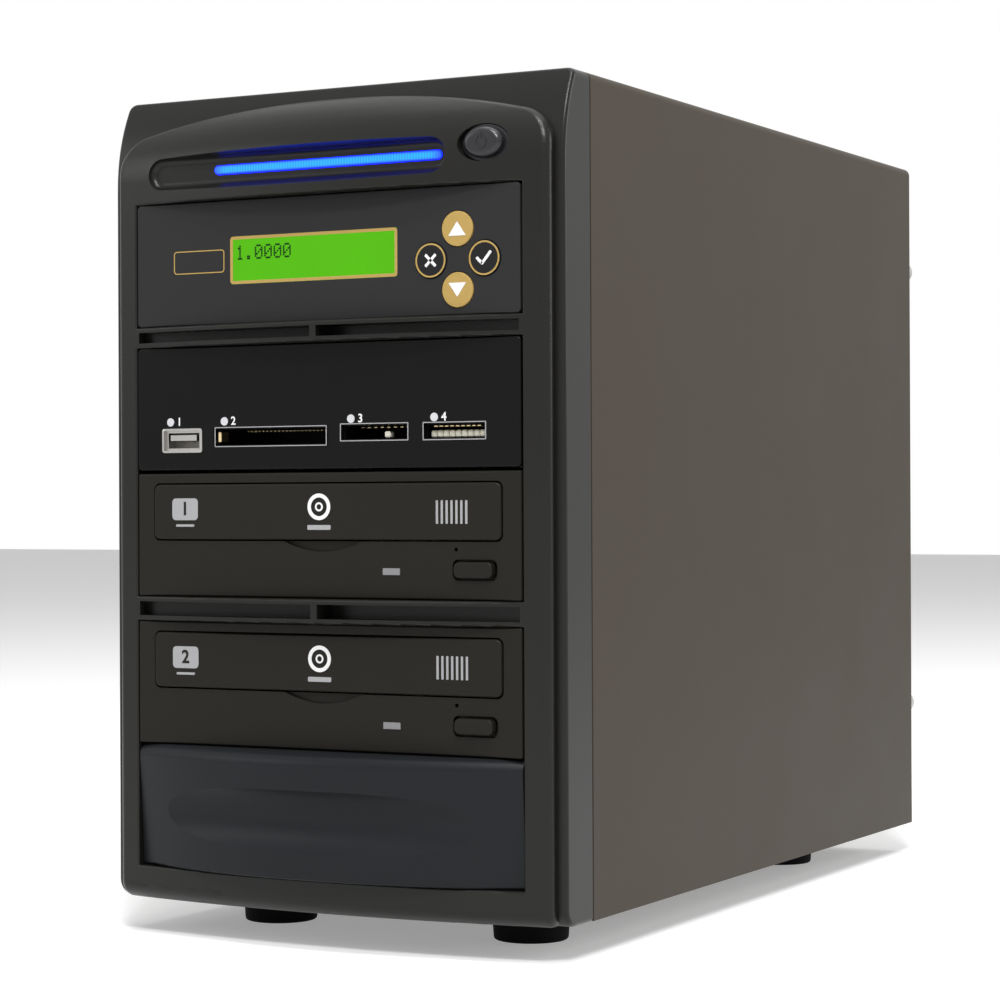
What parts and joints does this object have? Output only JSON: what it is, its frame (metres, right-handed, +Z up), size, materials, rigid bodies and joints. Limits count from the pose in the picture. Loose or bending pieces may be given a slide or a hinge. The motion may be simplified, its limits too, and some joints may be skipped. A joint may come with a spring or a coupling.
{
  "type": "disc duplicator tower",
  "caption": "Free-standing disc duplicator tower: bowed front bezel with control panel, card reader, tray drives and a blank cover, on a bent metal case with rear mains inlet and fans.",
  "frame": {"origin": "middle of the bounding box, on the surface that the feet stand on", "axes": "+Z up, the front looks along -Y, +X to the right seen from the front"},
  "size_m": [0.174, 0.3506, 0.287],
  "materials": {
    "case_metal": "satin paint",
    "bare_steel": "zinc plated",
    "bezel_plastic": "fine satin grain",
    "panel_plastic": "fine satin grain",
    "reader_plastic": "gloss",
    "drive_plastic": "fine satin grain",
    "cover_plastic": "fine satin grain",
    "foot_rubber": "matte",
    "display_green": "lit display window",
    "key_gold": "satin gold",
    "key_black": "satin",
    "light_blue": "lit lens",
    "lamp_clear": "clear lens",
    "board": "solder resist",
    "socket_metal": "plated",
    "socket_plastic": "moulded",
    "tray_plastic": "moulded",
    "fan_plastic": "moulded",
    "sled_metal": "die cast"
  },
  "bodies": {
    "tower": {"base_pan": "case_metal", "front_frame": "case_metal", "rear_panel": "bare_steel", "drive_cage": "bare_steel", "wrap_cover": "case_metal", "thumb_screws": "bare_steel", "foot_front_left": "foot_rubber", "foot_front_right": "foot_rubber", "foot_rear_left": "foot_rubber", "foot_rear_right": "foot_rubber", "foot_screws": "bare_steel", "front_bezel": "bezel_plastic", "light_bar": "light_blue", "power_switch": "socket_plastic", "control_plate": "panel_plastic", "display_window": "display_green", "display_module": "board", "controller_board": "board", "control_bracket": "bare_steel", "reader_plate": "reader_plastic", "usb_socket": "socket_metal", "cf_socket": "socket_plastic", "sd_socket": "socket_plastic", "ms_socket": "socket_plastic", "reader_board": "board", "reader_lamps": "lamp_clear", "reader_bracket": "bare_steel", "bay_cover": "cover_plastic", "psu_case": "bare_steel", "psu_fan_frame": "fan_plastic", "mains_inlet": "socket_plastic", "case_fan_frame": "fan_plastic", "drive_case_1": "bare_steel", "drive_bezel_1": "drive_plastic", "drive_lamp_1": "lamp_clear", "pickup_chassis_1": "bare_steel", "spindle_motor_1": "bare_steel", "drive_case_2": "bare_steel", "drive_bezel_2": "drive_plastic", "drive_lamp_2": "lamp_clear", "pickup_chassis_2": "bare_steel", "spindle_motor_2": "bare_steel"},
    "power_button": {"power_button": "bezel_plastic"},
    "key_up": {"key_up": "key_gold"},
    "key_down": {"key_down": "key_gold"},
    "key_esc": {"key_esc": "key_black"},
    "key_ok": {"key_ok": "key_black"},
    "psu_fan": {"psu_fan_rotor": "fan_plastic"},
    "case_fan": {"case_fan_rotor": "fan_plastic"},
    "rocker": {"rocker_switch": "socket_plastic"},
    "tray_1": {"disc_tray_1": "tray_plastic", "tray_front_1": "drive_plastic"},
    "eject_1": {"eject_button_1": "drive_plastic"},
    "turntable_1": {"turntable_1": "fan_plastic"},
    "sled_1": {"pickup_sled_1": "sled_metal"},
    "tray_2": {"disc_tray_2": "tray_plastic", "tray_front_2": "drive_plastic"},
    "eject_2": {"eject_button_2": "drive_plastic"},
    "turntable_2": {"turntable_2": "fan_plastic"},
    "sled_2": {"pickup_sled_2": "sled_metal"}
  },
  "joints": [
    {"name": "power_button_press", "type": "slide", "parent": "tower", "child": "power_button", "axis": [0, 1, 0], "range_m": [0, 0.0015], "stiffness_N_per_m": 1200},
    {"name": "key_up_press", "type": "slide", "parent": "tower", "child": "key_up", "axis": [0, 1, 0], "range_m": [0, 0.0007], "stiffness_N_per_m": 1500},
    {"name": "key_down_press", "type": "slide", "parent": "tower", "child": "key_down", "axis": [0, 1, 0], "range_m": [0, 0.0007], "stiffness_N_per_m": 1500},
    {"name": "key_esc_press", "type": "slide", "parent": "tower", "child": "key_esc", "axis": [0, 1, 0], "range_m": [0, 0.0007], "stiffness_N_per_m": 1500},
    {"name": "key_ok_press", "type": "slide", "parent": "tower", "child": "key_ok", "axis": [0, 1, 0], "range_m": [0, 0.0007], "stiffness_N_per_m": 1500},
    {"name": "tray_1_slide", "type": "slide", "parent": "tower", "child": "tray_1", "axis": [0, -1, 0], "range_m": [0, 0.14]},
    {"name": "eject_1_press", "type": "slide", "parent": "tower", "child": "eject_1", "axis": [0, 1, 0], "range_m": [0, 0.001], "stiffness_N_per_m": 900},
    {"name": "turntable_1_spin", "type": "hinge", "parent": "tower", "child": "turntable_1", "pos_m": [0, -0.09217, 0.137], "axis": [0, 0, 1], "continuous": true},
    {"name": "sled_1_slide", "type": "slide", "parent": "tower", "child": "sled_1", "axis": [0, 1, 0], "range_m": [0, 0.034]},
    {"name": "tray_2_slide", "type": "slide", "parent": "tower", "child": "tray_2", "axis": [0, -1, 0], "range_m": [0, 0.14]},
    {"name": "eject_2_press", "type": "slide", "parent": "tower", "child": "eject_2", "axis": [0, 1, 0], "range_m": [0, 0.001], "stiffness_N_per_m": 900},
    {"name": "turntable_2_spin", "type": "hinge", "parent": "tower", "child": "turntable_2", "pos_m": [0, -0.09217, 0.0868], "axis": [0, 0, 1], "continuous": true},
    {"name": "sled_2_slide", "type": "slide", "parent": "tower", "child": "sled_2", "axis": [0, 1, 0], "range_m": [0, 0.034]},
    {"name": "psu_fan_spin", "type": "hinge", "parent": "tower", "child": "psu_fan", "pos_m": [-0.026, 0.15233, 0.238], "axis": [0, 1, 0], "continuous": true},
    {"name": "case_fan_spin", "type": "hinge", "parent": "tower", "child": "case_fan", "pos_m": [0, 0.15333, 0.11], "axis": [0, 1, 0], "continuous": true},
    {"name": "rocker_tilt", "type": "hinge", "parent": "tower", "child": "rocker", "pos_m": [0.05, 0.16573, 0.254], "axis": [-1, 0, 0], "range_deg": [0, 20]}
  ]
}
